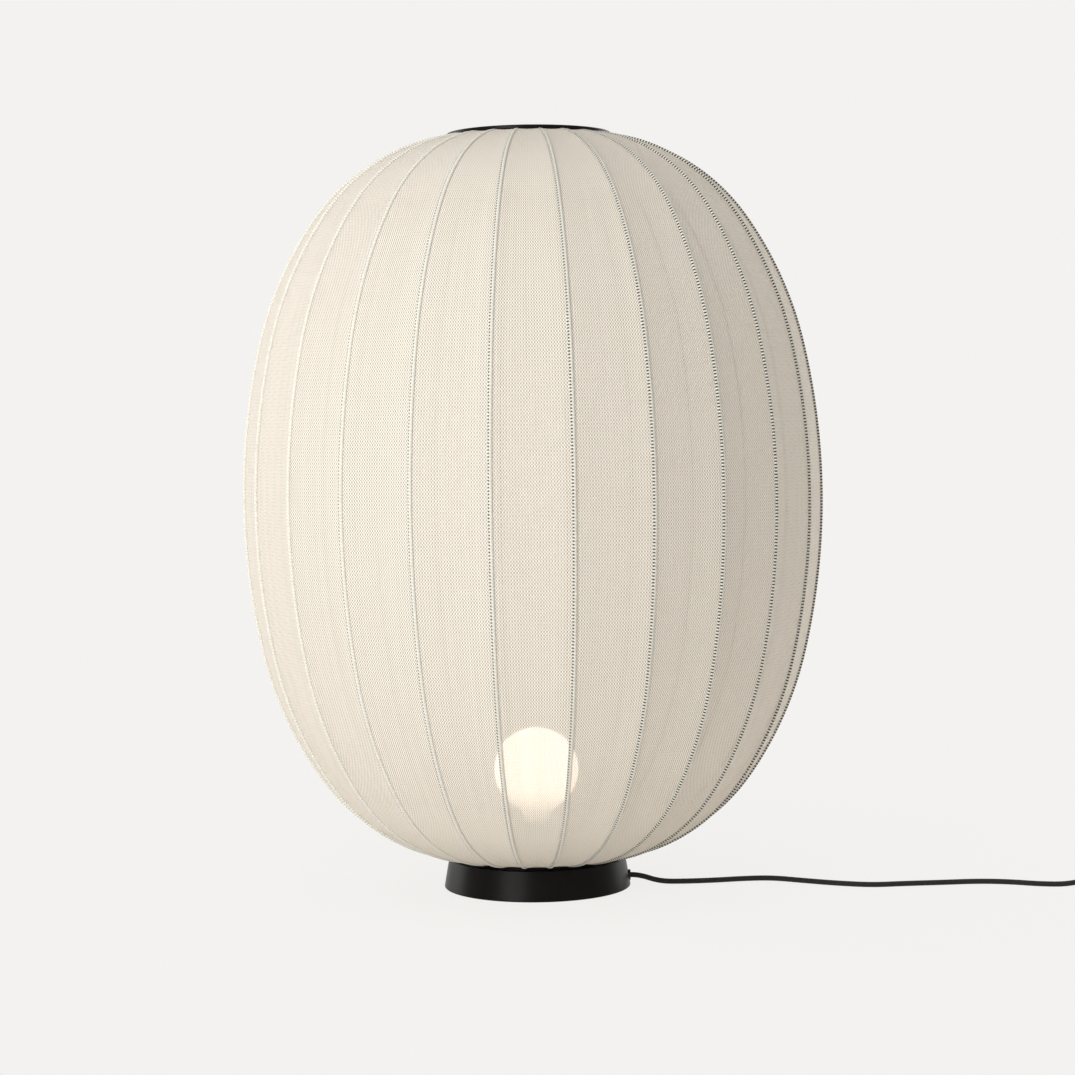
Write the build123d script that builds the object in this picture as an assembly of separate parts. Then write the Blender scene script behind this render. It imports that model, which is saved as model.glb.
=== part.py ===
from build123d import *
import math
import os

# Knitted floor lamp. Millimetres, +Z up, the origin on the floor under the middle of the base.
# The front of the lamp faces -Y and its cord leaves towards +X.

os.makedirs("parts", exist_ok=True)

# Shade: outline over the rib channels, as arcs from the widest height towards each ring
shade_radius = 325.0
flank_radius = 759.6
flank_angle = 13.1
waist_radius = 405.6
waist_angle = 35.08
crown_radius = 220.5
rib_count = 24
ribs_per_panel = 3
rod_diameter = 3.0
channel_diameter = 5.2
channel_clearance = 0.3
knit_thickness = 1.2
hem_clearance = 0.3

# Rings that grip the rib rods, one at each end of the shade
ring_diameter = 183.8
ring_bore = 160.0
ring_thickness = 4.5
ring_edge_round = 0.8
clamp_thickness = 4.0
clamp_setback = 1.4
rod_straight_length = 9.4
rod_bend_setback = 0.7
rod_depth_in_ring = 4.7
rod_grip_clearance = 0.05
ring_screw_count = 6
ring_screw_diameter = 3.0
ring_screw_head_diameter = 5.5
ring_screw_head_depth = 1.3
ring_screw_bite = 2.5

# Base: pressed steel shell over a cast iron weight
base_foot_diameter = 210.8
base_rim_diameter = 199.2
base_height = 34.3
shell_thickness = 1.5
shell_floor_gap = 1.0
seat_depth = 1.6
seat_clearance = 0.6
rim_round = 1.0
shell_foot_round = 1.0
pad_thickness = 1.5
pad_diameter = 196.0
cover_thickness = 2.5
cover_clearance = 0.3
weight_diameter = 186.0
weight_thickness = 16.0
weight_bore = 34.0
cord_slot_width = 16.0
post_count = 3
post_circle_diameter = 144.0
post_diameter = 11.0
post_first_angle = 60.0
base_screw_diameter = 4.0
base_screw_head_diameter = 8.0
base_screw_head_depth = 2.2
base_screw_bite = 8.0
base_screw_clearance = 0.25

# Threaded tube, nut and lamp holder
tube_diameter = 10.0
tube_bore = 7.8
tube_hole_clearance = 0.2
tube_below_plate = 5.5
tube_above_holder_floor = 1.0
nut_across_flats = 14.0
nut_thickness = 3.5
holder_diameter = 41.0
holder_wall = 2.0
holder_floor = 3.0
holder_ledge_width = 2.0
holder_ledge_height = 8.3
holder_cup_height = 15.0
holder_joint_clearance = 0.2
holder_barrel_height = 25.0
holder_mouth_clearance = 0.4
core_thickness = 4.0
sleeve_wall = 0.6
sleeve_turns = 4
contact_thickness = 1.0
contact_length = 14.0
contact_width = 7.0

# Bulb with a screw cap
bulb_diameter = 95.0
bulb_glass_thickness = 1.2
bulb_neck_diameter = 28.6
bulb_neck_blend = 20.0
bulb_neck_straight = 0.9
thread_crest_diameter = 26.0
thread_depth = 0.8
thread_pitch = 3.6
thread_turns = 5
thread_clearance = 0.15
cap_wall = 0.8
cap_skirt = 3.5
cap_heel = 2.0
cap_heel_diameter = 22.0
cap_lip = 2.0
insulator_height = 2.6
tip_diameter = 8.0
tip_height = 1.4

# Cord where the base holds it
cord_diameter = 6.0
inner_bend_radius = 18.0
bushing_diameter = 10.0
bushing_clearance = 0.1
bushing_flange_diameter = 12.0
bushing_depth = 9.0
bushing_catch_depth = 3.5
clamp_block_length = 12.0
clamp_block_height = 12.5
clamp_block_middle_x = 66.0
clamp_block_clearance = 0.5

# Points of the cord's free stretches, chosen by hand
run_points = [
    (105.3, 0.0, 11.0),
    (115.3, 0.0, 11.0),
    (138.5, 0.0, 3.05),
    (165.0, -2.0, 3.05),
    (200.0, 2.0, 3.05),
    (236.0, 11.0, 3.05),
    (268.0, 12.5, 3.05),
    (300.0, -6.0, 3.05),
    (336.0, -24.5, 3.05),
    (374.0, -37.5, 3.05),
    (410.0, -31.5, 3.05),
    (452.0, -28.0, 3.05),
    (495.0, -22.5, 3.05),
    (530.0, -28.5, 3.05),
    (562.0, -44.0, 3.05),
    (592.0, -47.0, 3.05),
    (617.0, -43.0, 8.0),
    (637.0, -43.0, 8.0),
]
tail_points = [
    (743.0, -43.0, 8.0),
    (757.0, -43.0, 8.0),
    (779.0, -41.0, 3.6),
    (797.0, -42.0, 3.6),
    (814.0, -42.0, 3.6),
]
arc_share = 0.45

# Foot switch on the cord
switch_diameter = 62.0
switch_wall = 2.0
switch_height = 23.0
switch_crown_round = 4.0
floor_gap = 0.05
button_diameter = 34.0
button_clearance = 0.4
button_flange_width = 2.0
button_flange_thickness = 2.0
button_flange_gap = 0.05
button_proud = 4.0
button_crown_round = 1.5
spring_diameter = 16.0
spring_wire_diameter = 1.4
spring_turns = 4
spring_end_gap = 0.05
spring_post_height = 2.0
spring_post_diameter = 22.0
relief_small_diameter = 7.6
relief_large_diameter = 11.0
relief_groove_width = 1.6
relief_groove_depth = 0.9
relief_groove_count = 4
relief_spigot_diameter = 8.0

# Coil of the spare cord and its tie
coil_outer_radius = 39.5
coil_pitch = 6.8
coil_layer_height = 6.5
coil_layers = 4
coil_turns_per_layer = 1.75
coil_climb_turns = 0.5
coil_run_out = 26.0
coil_drop_length = 62.0
tie_width = 4.0
tie_thickness = 0.4
tie_clearance = 0.15
tie_corner_radius = 2.5
tie_ear_length = 12.0

# Flat two-pin plug
plug_length = 35.0
plug_width = 35.0
plug_height = 13.6
plug_back_width = 13.0
plug_nose_width = 26.0
plug_shoulder = 20.0
plug_nose_length = 6.0
plug_edge_round = 1.5
plug_relief_length = 24.0
pin_diameter = 4.0
pin_length = 19.0
pin_spacing = 19.0
pin_depth = 8.0
pin_tip_round = 1.2

# Worked out from the sizes above
seat_z = base_height - seat_depth
half_gore_angle = 180.0 / rib_count
ring_radius = ring_diameter / 2
ring_bore_radius = ring_bore / 2
rod_radius = rod_diameter / 2
channel_radius = channel_diameter / 2
channel_chamfer = channel_diameter / (2 + math.sqrt(2))
plate_under_z = seat_z - shell_thickness
weight_bottom_z = pad_thickness + cover_thickness
weight_top_z = weight_bottom_z + weight_thickness
holder_floor_z = seat_z + holder_floor
core_bottom_z = seat_z + holder_ledge_height
core_top_z = core_bottom_z + core_thickness
cup_top_z = seat_z + holder_cup_height
barrel_top_z = cup_top_z + holder_barrel_height
bulb_tip_z = core_top_z + contact_thickness
insulator_bottom_z = bulb_tip_z + tip_height
cap_bottom_z = insulator_bottom_z + insulator_height
thread_bottom_z = cap_bottom_z + cap_heel
thread_top_z = thread_bottom_z + thread_turns * thread_pitch
cap_top_z = thread_top_z + cap_skirt
cord_radius = cord_diameter / 2
exit_x = run_points[0][0]
exit_z = run_points[0][2]
switch_x = (run_points[-1][0] + tail_points[0][0]) / 2
switch_y = run_points[-1][1]
switch_split_z = run_points[-1][2]
button_radius = button_diameter / 2
coil_x = tail_points[-1][0] + cord_diameter
coil_y = tail_points[-1][1] + coil_outer_radius
coil_z = tail_points[-1][2]
plug_z = plug_height / 2 + floor_gap
wall_slope = (base_foot_diameter - base_rim_diameter) / 2 / (base_height - shell_floor_gap)


# Shapes used more than once
def turned(points, rounds=None):
    """A solid of revolution about the lamp's axis from (radius, height) corners."""
    corners = [(radius, 0.0, height) for radius, height in points]
    if rounds is None:
        outline = Polyline(*corners, close=True)
    else:
        outline = FilletPolyline(*corners, radius=rounds, close=True)
    return revolve(make_face(outline), Axis.Z)


def upright(radius, low_z, high_z, x=0.0, y=0.0):
    """An upright round bar from one height to another."""
    bar = Cylinder(radius, high_z - low_z, align=(Align.CENTER, Align.CENTER, Align.MIN))
    return Pos(x, y, low_z) * bar


def bar_between(start, end, radius):
    """A round bar from one point to another."""
    way = Vector(*end) - Vector(*start)
    bar = Cylinder(radius, way.length, align=(Align.CENTER, Align.CENTER, Align.MIN))
    return Plane(origin=start, z_dir=way) * bar


def around(count, first_angle=0.0):
    """Turns about the lamp's axis, evenly spread."""
    return [Rot(0, 0, first_angle + 360.0 * i / count) for i in range(count)]


def countersunk(shank_radius, head_radius, head_depth, length):
    """A countersunk screw, or the hole for one, pointing up from its head at z = 0."""
    head = Cone(head_radius, shank_radius, head_depth, align=(Align.CENTER, Align.CENTER, Align.MIN))
    return head + upright(shank_radius, 0.0, length)


def swept_round(path, radius):
    """A round section carried along a smooth path."""
    section = Plane(origin=path @ 0, z_dir=path % 0) * Circle(radius)
    return sweep(section, path=path)


# Cord routes
def corner_radii(points):
    """The largest tangent arc at each corner of a route that its two runs leave room for."""
    radii = []
    for before, corner, after in zip(points, points[1:], points[2:]):
        run_in = Vector(*corner) - Vector(*before)
        run_out = Vector(*after) - Vector(*corner)
        half_turn = math.radians(run_in.get_angle(run_out)) / 2
        radii.append(arc_share * min(run_in.length, run_out.length) / math.tan(half_turn))
    return radii


def report_tube(name, tube, path):
    """Print a tube's length and how its volume compares with its section times its length."""
    ratio = tube.volume / (math.pi * cord_radius**2 * path.length)
    print(name, "length", round(path.length, 1), "volume ratio", round(ratio, 5))


def cord_tube(name, points):
    """A cord's tube of straight runs and tangent arcs along hand-chosen points."""
    radii = corner_radii(points)
    path = FilletPolyline(*points, radius=radii)
    tube = swept_round(path, cord_radius)
    report_tube(name, tube, path)
    print(name, "radii", [round(radius, 1) for radius in radii])
    return tube


def biarc(start, start_way, end, end_way):
    """Two tangent arcs from one point and direction to another."""
    chord = end - start
    a = 2 * (1 - start_way.dot(end_way))
    b = 2 * chord.dot(start_way + end_way)
    if a < 1e-9:
        reach = chord.dot(chord) / b
    else:
        reach = (math.sqrt(b * b + 4 * a * chord.dot(chord)) - b) / (2 * a)
    near = start + start_way * reach
    far = end - end_way * reach
    joint = (near + far) / 2
    return [
        Edge.make_tangent_arc(start, start_way, joint),
        Edge.make_tangent_arc(joint, far - near, end),
    ]


def winding(place, turns, first_way=None, last_way=None):
    """Quarter-turn biarcs along a winding whose place is a formula of its turns."""
    knots = [0.25 * i for i in range(round(4 * turns) + 1)]
    step = 1e-4
    ways = [(place(turn + step) - place(turn - step)).normalized() for turn in knots]
    ways[0] = first_way or ways[0]
    ways[-1] = last_way or ways[-1]
    edges = []
    for i in range(len(knots) - 1):
        edges += biarc(place(knots[i]), ways[i], place(knots[i + 1]), ways[i + 1])
    return edges


# Outline of the shade
def rib_line(offset, end_radius):
    """(radius, height) points of five tangent arcs from the lower ring to the upper one.

    The line runs at an offset outside the rods' centre line, its heights count from the
    widest part, and it ends at a given radius.
    """
    arcs = (flank_radius, waist_radius, crown_radius)
    angles = (math.radians(flank_angle), math.radians(waist_angle))
    centre_r = shade_radius - flank_radius
    centre_z = 0.0
    angle = 0.0
    upper = []
    for i, arc in enumerate(arcs):
        radius = arc - channel_radius + offset
        if i < len(angles):
            end = angles[i]
        else:
            end = math.acos((end_radius - centre_r) / radius)
        if i > 0:
            middle = (angle + end) / 2
            upper.append((centre_r + radius * math.cos(middle), centre_z + radius * math.sin(middle)))
        upper.append((centre_r + radius * math.cos(end), centre_z + radius * math.sin(end)))
        if i < len(angles):
            centre_r += (arc - arcs[i + 1]) * math.cos(end)
            centre_z += (arc - arcs[i + 1]) * math.sin(end)
        angle = end
    lower = [(r, -z) for r, z in reversed(upper)]
    return lower + [(shade_radius - channel_radius + offset, 0.0)] + upper


rod_line = rib_line(0.0, ring_radius + rod_bend_setback)
shade_half_height = rod_line[-1][1] + rod_depth_in_ring
shade_middle_z = seat_z + shade_half_height


def arc_chain(points, squeeze=1.0):
    """Arcs in the XZ plane through every three points of a rib line."""
    corners = [Vector(r * squeeze, 0.0, shade_middle_z + z) for r, z in points]
    return [Edge.make_three_point_arc(*corners[i : i + 3]) for i in range(0, len(corners) - 1, 2)]


rod_arcs = arc_chain(rod_line)
rod_bottom_way = rod_arcs[0] % 0 * -1
rod_top_way = rod_arcs[-1] % 1
rod_bottom = rod_arcs[0] @ 0 + rod_bottom_way * rod_straight_length
rod_top = rod_arcs[-1] @ 1 + rod_top_way * rod_straight_length


def flipped(piece):
    """The same piece at the other end of the shade."""
    return Pos(0, 0, 2 * shade_middle_z) * mirror(piece, Plane.XY)


# Shade pieces
def outline_band(half_depth, squeeze=1.0):
    """A face in the XZ plane that follows the rib line, from one ring to the other."""
    outer = arc_chain(rib_line(half_depth, ring_bore_radius), squeeze)
    inner = arc_chain(rib_line(-half_depth, ring_bore_radius), squeeze)
    ends = [Edge.make_line(outer[0] @ 0, inner[0] @ 0), Edge.make_line(outer[-1] @ 1, inner[-1] @ 1)]
    return make_face(outer + inner + ends)


def rib_bar(half_width):
    """A square bar that follows a rib rod."""
    return extrude(outline_band(half_width), half_width, dir=(0, 1, 0), both=True)


def knitted_cover():
    """The knitted tube: flat gores between the ribs, and an eight-sided channel along each rib.

    It is parted in the middle of every third gore, into panels that meet face to face. The back
    half's panels come first, then the front half's.
    """
    wall = outline_band(knit_thickness / 2, math.cos(math.radians(half_gore_angle)))
    gore_reach = shade_radius * math.tan(math.radians(half_gore_angle)) + channel_diameter
    half_gore = Rot(0, 0, half_gore_angle) * extrude(wall, gore_reach, dir=(0, -1, 0))
    side_box = Box(4 * shade_radius, 2 * shade_radius, 4 * shade_half_height)
    half_gore = half_gore & (Pos(0, shade_radius, shade_middle_z) * side_box)
    channel = rib_bar(channel_radius)
    channel = chamfer(channel.edges().filter_by(GeomType.CIRCLE), channel_chamfer)
    tunnel = rib_bar(rod_radius + channel_clearance)
    sector = half_gore + mirror(half_gore, Plane.XZ) + channel - tunnel
    sector -= upright(ring_radius + hem_clearance, 0.0, 2 * shade_middle_z)
    sectors = [place * sector for place in around(rib_count, half_gore_angle)]
    starts = range(0, rib_count, ribs_per_panel)
    panels = [sectors[i].fuse(*sectors[i + 1 : i + ribs_per_panel]) for i in starts]
    half_count = len(panels) // 2
    return Compound(children=panels[:half_count]), Compound(children=panels[half_count:])


def rib_rod():
    """One spring steel rod, with a straight end in each ring."""
    ends = [Edge.make_line(rod_bottom, rod_arcs[0] @ 0), Edge.make_line(rod_arcs[-1] @ 1, rod_top)]
    return swept_round(Wire([ends[0]] + rod_arcs + [ends[1]]), rod_radius)


def rod_grooves():
    """Room for the rod ends in the lower ring and its clamp."""
    way = -rod_bottom_way
    inner_end = rod_bottom - way * rod_grip_clearance
    outer_end = rod_bottom + way * (rod_straight_length + channel_diameter)
    groove = bar_between(inner_end, outer_end, rod_radius + rod_grip_clearance)
    return [place * groove for place in around(rib_count, half_gore_angle)]


def ring_screw_places():
    """Turns to the screws, each in the middle of a gore."""
    return around(ring_screw_count)


ring_top_z = seat_z + ring_thickness
clamp_top_z = ring_top_z + clamp_thickness
ring_screw_x = (ring_radius - clamp_setback + ring_bore_radius) / 2
ring_screw_length = clamp_thickness + ring_screw_bite


def ring_screw():
    """One countersunk screw, driven down through the clamp into the lower ring."""
    screw = countersunk(
        ring_screw_diameter / 2, ring_screw_head_diameter / 2, ring_screw_head_depth, ring_screw_length
    )
    return Pos(ring_screw_x, 0, clamp_top_z) * Rot(180, 0, 0) * screw


def bottom_ring():
    """The ring that stands in the base's seat, grooved for the rods."""
    ring = turned(
        [
            (ring_bore_radius, seat_z),
            (ring_radius, seat_z),
            (ring_radius, ring_top_z),
            (ring_bore_radius, ring_top_z),
        ],
        rounds=[0, ring_edge_round, ring_edge_round, 0],
    )
    screws = [place * ring_screw() for place in ring_screw_places()]
    return ring - rod_grooves() - screws


def bottom_rib_clamp():
    """The flat ring screwed over the rod ends."""
    ring = upright(ring_radius - clamp_setback, ring_top_z, clamp_top_z)
    ring -= upright(ring_bore_radius, ring_top_z, clamp_top_z)
    screws = [place * ring_screw() for place in ring_screw_places()]
    return ring - rod_grooves() - screws


def ring_screws():
    """The screws of both rings."""
    low = [place * ring_screw() for place in ring_screw_places()]
    return Compound(children=low + [flipped(screw) for screw in low])


# Base pieces
def wall_radius(height):
    """The outer radius of the base's tapered wall at a height."""
    return base_foot_diameter / 2 - wall_slope * (height - shell_floor_gap)


wall_setback = shell_thickness * math.hypot(1.0, wall_slope)
post_places = around(post_count, post_first_angle)
post_radius = post_circle_diameter / 2


def base_screw(extra=0.0):
    """One countersunk screw from under the base, or with extra the hole for it."""
    length = weight_top_z + base_screw_bite - pad_thickness
    screw = countersunk(
        base_screw_diameter / 2 + extra, base_screw_head_diameter / 2 + extra, base_screw_head_depth, length
    )
    return Pos(post_radius, 0, pad_thickness) * screw


def base_shell():
    """The pressed shell: tapered wall, rim, sunk seat for the shade's ring, and screw posts."""
    rim_radius = base_rim_diameter / 2
    seat_radius = ring_radius + seat_clearance
    rim_under_z = base_height - shell_thickness
    hole_radius = tube_diameter / 2 + tube_hole_clearance
    shell = turned(
        [
            (wall_radius(shell_floor_gap), shell_floor_gap),
            (rim_radius, base_height),
            (seat_radius, base_height),
            (seat_radius, seat_z),
            (hole_radius, seat_z),
            (hole_radius, plate_under_z),
            (seat_radius + shell_thickness, plate_under_z),
            (seat_radius + shell_thickness, rim_under_z),
            (wall_radius(rim_under_z) - wall_setback, rim_under_z),
            (wall_radius(shell_floor_gap) - wall_setback, shell_floor_gap),
        ],
        rounds=[shell_foot_round, rim_round, seat_depth / 4, 0, 0, 0, 0, 0, 0, 0],
    )
    post = upright(post_diameter / 2, weight_top_z, plate_under_z, post_radius)
    shell += [place * post for place in post_places]
    shell -= [place * base_screw() for place in post_places]
    way_out = bar_between(
        (weight_diameter / 2, 0, exit_z), (exit_x, 0, exit_z), bushing_diameter / 2 + bushing_clearance
    )
    return shell - way_out


def counterweight():
    """The cast iron disc, slotted for the cord."""
    weight = upright(weight_diameter / 2, weight_bottom_z, weight_top_z)
    weight -= upright(weight_bore / 2, weight_bottom_z, weight_top_z)
    from_axis = (Align.MIN, Align.CENTER, Align.MIN)
    slot = Box(weight_diameter, cord_slot_width, weight_thickness, align=from_axis)
    weight -= Pos(0, 0, weight_bottom_z) * slot
    return weight - [place * base_screw(base_screw_clearance) for place in post_places]


def bottom_cover():
    """The steel disc that closes the base."""
    radius = wall_radius(weight_bottom_z) - wall_setback - cover_clearance
    cover = upright(radius, pad_thickness, weight_bottom_z)
    return cover - [place * base_screw() for place in post_places]


def base_pad():
    """The felt disc glued under the base."""
    return upright(pad_diameter / 2, 0.0, pad_thickness)


def base_screws():
    """The screws that hold the cover and the weight to the shell."""
    return Compound(children=[place * base_screw() for place in post_places])


def threaded_tube():
    """The hollow threaded tube that holds the lamp holder to the base."""
    low_z = plate_under_z - tube_below_plate
    high_z = holder_floor_z + tube_above_holder_floor
    return upright(tube_diameter / 2, low_z, high_z) - upright(tube_bore / 2, low_z, high_z)


def tube_nut():
    """The hexagon nut under the plate."""
    outline = RegularPolygon(nut_across_flats / 2, 6, major_radius=False)
    nut = Pos(0, 0, plate_under_z - nut_thickness) * extrude(outline, nut_thickness)
    return nut - upright(tube_diameter / 2, plate_under_z - nut_thickness, plate_under_z)


# Lamp holder
def holder_cup():
    """The lower part of the lamp holder, screwed on the tube."""
    outer = holder_diameter / 2
    inner = outer - holder_wall
    ledge = inner - holder_ledge_width
    return turned(
        [
            (tube_diameter / 2, seat_z),
            (outer, seat_z),
            (outer, cup_top_z),
            (inner, cup_top_z),
            (inner, core_bottom_z),
            (ledge, core_bottom_z),
            (ledge, holder_floor_z),
            (tube_diameter / 2, holder_floor_z),
        ]
    )


def holder_core():
    """The ceramic disc that carries the contacts."""
    radius = holder_diameter / 2 - holder_wall - holder_joint_clearance
    return upright(radius, core_bottom_z, core_top_z)


def holder_barrel():
    """The upper part of the holder, its spigot pressing on the core's edge."""
    outer = holder_diameter / 2
    inner = outer - holder_wall
    spigot = inner - holder_joint_clearance
    bore = inner - holder_ledge_width
    mouth = bulb_neck_diameter / 2 + holder_mouth_clearance
    return turned(
        [
            (bore, core_top_z),
            (spigot, core_top_z),
            (spigot, cup_top_z),
            (outer, cup_top_z),
            (outer, barrel_top_z),
            (mouth, barrel_top_z),
            (mouth, barrel_top_z - holder_wall),
            (bore, barrel_top_z - holder_wall),
        ]
    )


def thread_line(turns, gap=0.0):
    """(radius, height) corners of thread ridges, at a gap outside the bulb's own."""
    crest = thread_crest_diameter / 2 + gap
    corners = [(crest - thread_depth, thread_bottom_z)]
    for i in range(turns):
        low_z = thread_bottom_z + i * thread_pitch
        corners.append((crest, low_z + thread_pitch / 2))
        corners.append((crest - thread_depth, low_z + thread_pitch))
    return corners


def thread_sleeve():
    """The threaded metal sleeve that the bulb screws into, its thread as plain ridges."""
    ridges = thread_line(sleeve_turns, thread_clearance)
    inner = thread_crest_diameter / 2 + thread_clearance
    outer = inner + sleeve_wall
    start = [(outer, core_top_z), (inner, core_top_z), (inner, thread_bottom_z)]
    return turned(start + ridges + [(outer, ridges[-1][1])])


def centre_contact():
    """The brass leaf that the bulb's tip presses on."""
    on_its_face = (Align.CENTER, Align.CENTER, Align.MIN)
    leaf = Box(contact_length, contact_width, contact_thickness, align=on_its_face)
    return Pos(0, 0, core_top_z) * leaf


# Bulb
def bulb_outline(inset):
    """Half outline of the glass at an inset, from the neck up to the crown, as edges and ends."""
    neck = bulb_neck_diameter / 2
    ball = bulb_diameter / 2
    blend_z = cap_top_z + bulb_neck_straight
    ball_z = blend_z + math.sqrt((ball + bulb_neck_blend) ** 2 - (neck + bulb_neck_blend) ** 2)
    blend_centre = Vector(neck + bulb_neck_blend, 0, blend_z)
    ball_centre = Vector(0, 0, ball_z)
    across = (blend_centre - ball_centre).normalized()
    start = Vector(neck - inset, 0, blend_z)
    meet = ball_centre + across * (ball - inset)
    crown = ball_centre + Vector(0, 0, ball - inset)
    neck_arc = Edge.make_tangent_arc(start, (0, 0, 1), meet)
    ball_arc = Edge.make_tangent_arc(meet, neck_arc % 1, crown)
    return start, [neck_arc, ball_arc], crown


def bulb_globe():
    """The opal globe, hollow."""
    outer_start, outer, outer_crown = bulb_outline(0.0)
    inner_start, inner, inner_crown = bulb_outline(bulb_glass_thickness)
    foot = Vector(bulb_neck_diameter / 2, 0, cap_top_z)
    foot_middle = Vector(0, 0, cap_top_z)
    floor_middle = Vector(0, 0, inner_start.Z)
    lines = [
        (outer_start, foot),
        (foot, foot_middle),
        (foot_middle, floor_middle),
        (floor_middle, inner_start),
        (inner_crown, outer_crown),
    ]
    edges = outer + inner + [Edge.make_line(*ends) for ends in lines]
    return revolve(make_face(edges), Axis.Z)


def bulb_cap():
    """The bulb's metal screw cap, its thread as plain ridges."""
    root = thread_crest_diameter / 2 - thread_depth
    inner = root - cap_wall
    heel = cap_heel_diameter / 2
    lip = heel - cap_lip
    outside = [(lip, cap_bottom_z), (heel, cap_bottom_z)] + thread_line(thread_turns)
    outside += [(thread_crest_diameter / 2, thread_top_z + thread_depth)]
    outside += [(thread_crest_diameter / 2, cap_top_z)]
    inside = [(inner, cap_top_z), (inner, thread_bottom_z), (lip, cap_bottom_z + cap_wall)]
    return turned(outside + inside)


def bulb_insulator():
    """The black glass cone between the cap and its tip."""
    cone = Cone(
        tip_diameter / 2 + cap_wall, cap_heel_diameter / 2, insulator_height,
        align=(Align.CENTER, Align.CENTER, Align.MIN),
    )
    return Pos(0, 0, insulator_bottom_z) * cone


def bulb_tip():
    """The contact at the end of the cap."""
    return upright(tip_diameter / 2, bulb_tip_z, insulator_bottom_z)


# Cord inside the base
def inner_cord():
    """The cord from the bushing through the clamp and up the tube to the holder's core."""
    path = FilletPolyline(
        (exit_x, 0, exit_z), (0, 0, exit_z), (0, 0, core_bottom_z), radius=[inner_bend_radius]
    )
    tube = swept_round(path, cord_radius)
    report_tube("inner_cord", tube, path)
    return tube


def cord_bushing():
    """The grommet in the base's wall, its flange shaped to the taper outside."""
    start_x = exit_x - bushing_depth
    catch_x = start_x + bushing_catch_depth
    body = bar_between((start_x, 0, exit_z), (exit_x, 0, exit_z), bushing_diameter / 2)
    catch = bar_between((start_x, 0, exit_z), (catch_x, 0, exit_z), bushing_flange_diameter / 2)
    flange = bar_between((catch_x, 0, exit_z), (exit_x, 0, exit_z), bushing_flange_diameter / 2)
    taper = Cone(
        wall_radius(0.0), wall_radius(base_height), base_height,
        align=(Align.CENTER, Align.CENTER, Align.MIN),
    )
    bore = bar_between((start_x, 0, exit_z), (exit_x, 0, exit_z), cord_radius)
    return body + catch + (flange - taper) - bore


def cord_clamp():
    """The block that grips the cord in the weight's slot."""
    width = cord_slot_width - 2 * clamp_block_clearance
    block = Box(
        clamp_block_length, width, clamp_block_height, align=(Align.CENTER, Align.CENTER, Align.MIN)
    )
    bore = bar_between((weight_bore / 2, 0, exit_z), (weight_diameter / 2, 0, exit_z), cord_radius)
    return Pos(clamp_block_middle_x, 0, weight_bottom_z) * block - bore


# Foot switch
switch_radius = switch_diameter / 2
switch_lid_under_z = switch_height - switch_wall
flange_top_z = switch_lid_under_z - button_flange_gap
flange_bottom_z = flange_top_z - button_flange_thickness
spring_floor_z = floor_gap + switch_wall + spring_post_height
relief_spigot_radius = relief_spigot_diameter / 2


def at_switch(piece):
    """A piece made about the upright axis, moved to the switch."""
    return Pos(switch_x, switch_y, 0) * piece


def switch_spigots():
    """The two short bars of the strain reliefs that pass through the switch's wall."""
    reach = switch_radius - 2 * switch_wall
    bar = bar_between((reach, 0, switch_split_z), (switch_radius, 0, switch_split_z), relief_spigot_radius)
    return [bar, Rot(0, 0, 180) * bar]


def switch_lower():
    """The lower half of the switch's case, with the spring's post."""
    inner = switch_radius - switch_wall
    floor_z = floor_gap + switch_wall
    case = turned(
        [
            (0.0, floor_gap),
            (switch_radius, floor_gap),
            (switch_radius, switch_split_z),
            (inner, switch_split_z),
            (inner, floor_z),
            (spring_post_diameter / 2, floor_z),
            (spring_post_diameter / 2, spring_floor_z),
            (0.0, spring_floor_z),
        ]
    )
    return at_switch(case - switch_spigots())


def switch_upper():
    """The upper half of the case, round the button."""
    inner = switch_radius - switch_wall
    hole = button_radius + button_clearance
    case = turned(
        [
            (switch_radius, switch_split_z),
            (switch_radius, switch_height),
            (hole, switch_height),
            (hole, switch_lid_under_z),
            (inner, switch_lid_under_z),
            (inner, switch_split_z),
        ],
        rounds=[0, switch_crown_round, 0, 0, switch_crown_round - switch_wall, 0],
    )
    return at_switch(case - switch_spigots())


def switch_button():
    """The round button, held under the lid by its flange."""
    flange_radius = button_radius + button_flange_width
    button_top_z = switch_height + button_proud
    button = turned(
        [
            (0.0, flange_bottom_z),
            (flange_radius, flange_bottom_z),
            (flange_radius, flange_top_z),
            (button_radius, flange_top_z),
            (button_radius, button_top_z),
            (0.0, button_top_z),
        ],
        rounds=[0, 0, 0, 0, button_crown_round, 0],
    )
    return at_switch(button)


def switch_spring():
    """The spring under the button, one unbroken winding."""
    wire_radius = spring_wire_diameter / 2
    low_z = spring_floor_z + wire_radius + spring_end_gap
    high_z = flange_bottom_z - wire_radius - spring_end_gap

    def place(turn):
        angle = 2 * math.pi * turn
        radius = spring_diameter / 2
        height = low_z + (high_z - low_z) * turn / spring_turns
        return Vector(radius * math.cos(angle), radius * math.sin(angle), height)

    return at_switch(swept_round(Wire(winding(place, spring_turns)), wire_radius))


def strain_relief(length):
    """A grooved taper along +X, small at its mouth at the origin."""
    small = relief_small_diameter / 2
    large = relief_large_diameter / 2
    cone = Rot(0, 90, 0) * Cone(small, large, length, align=(Align.CENTER, Align.CENTER, Align.MIN))
    pitch = length / (relief_groove_count + 1)
    for i in range(relief_groove_count):
        middle = pitch * (i + 1)
        floor = small + (large - small) * middle / length - relief_groove_depth
        outer = Cylinder(large, relief_groove_width)
        groove = outer - Cylinder(floor, relief_groove_width)
        cone -= Pos(middle, 0, 0) * Rot(0, 90, 0) * groove
    return cone


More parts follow.
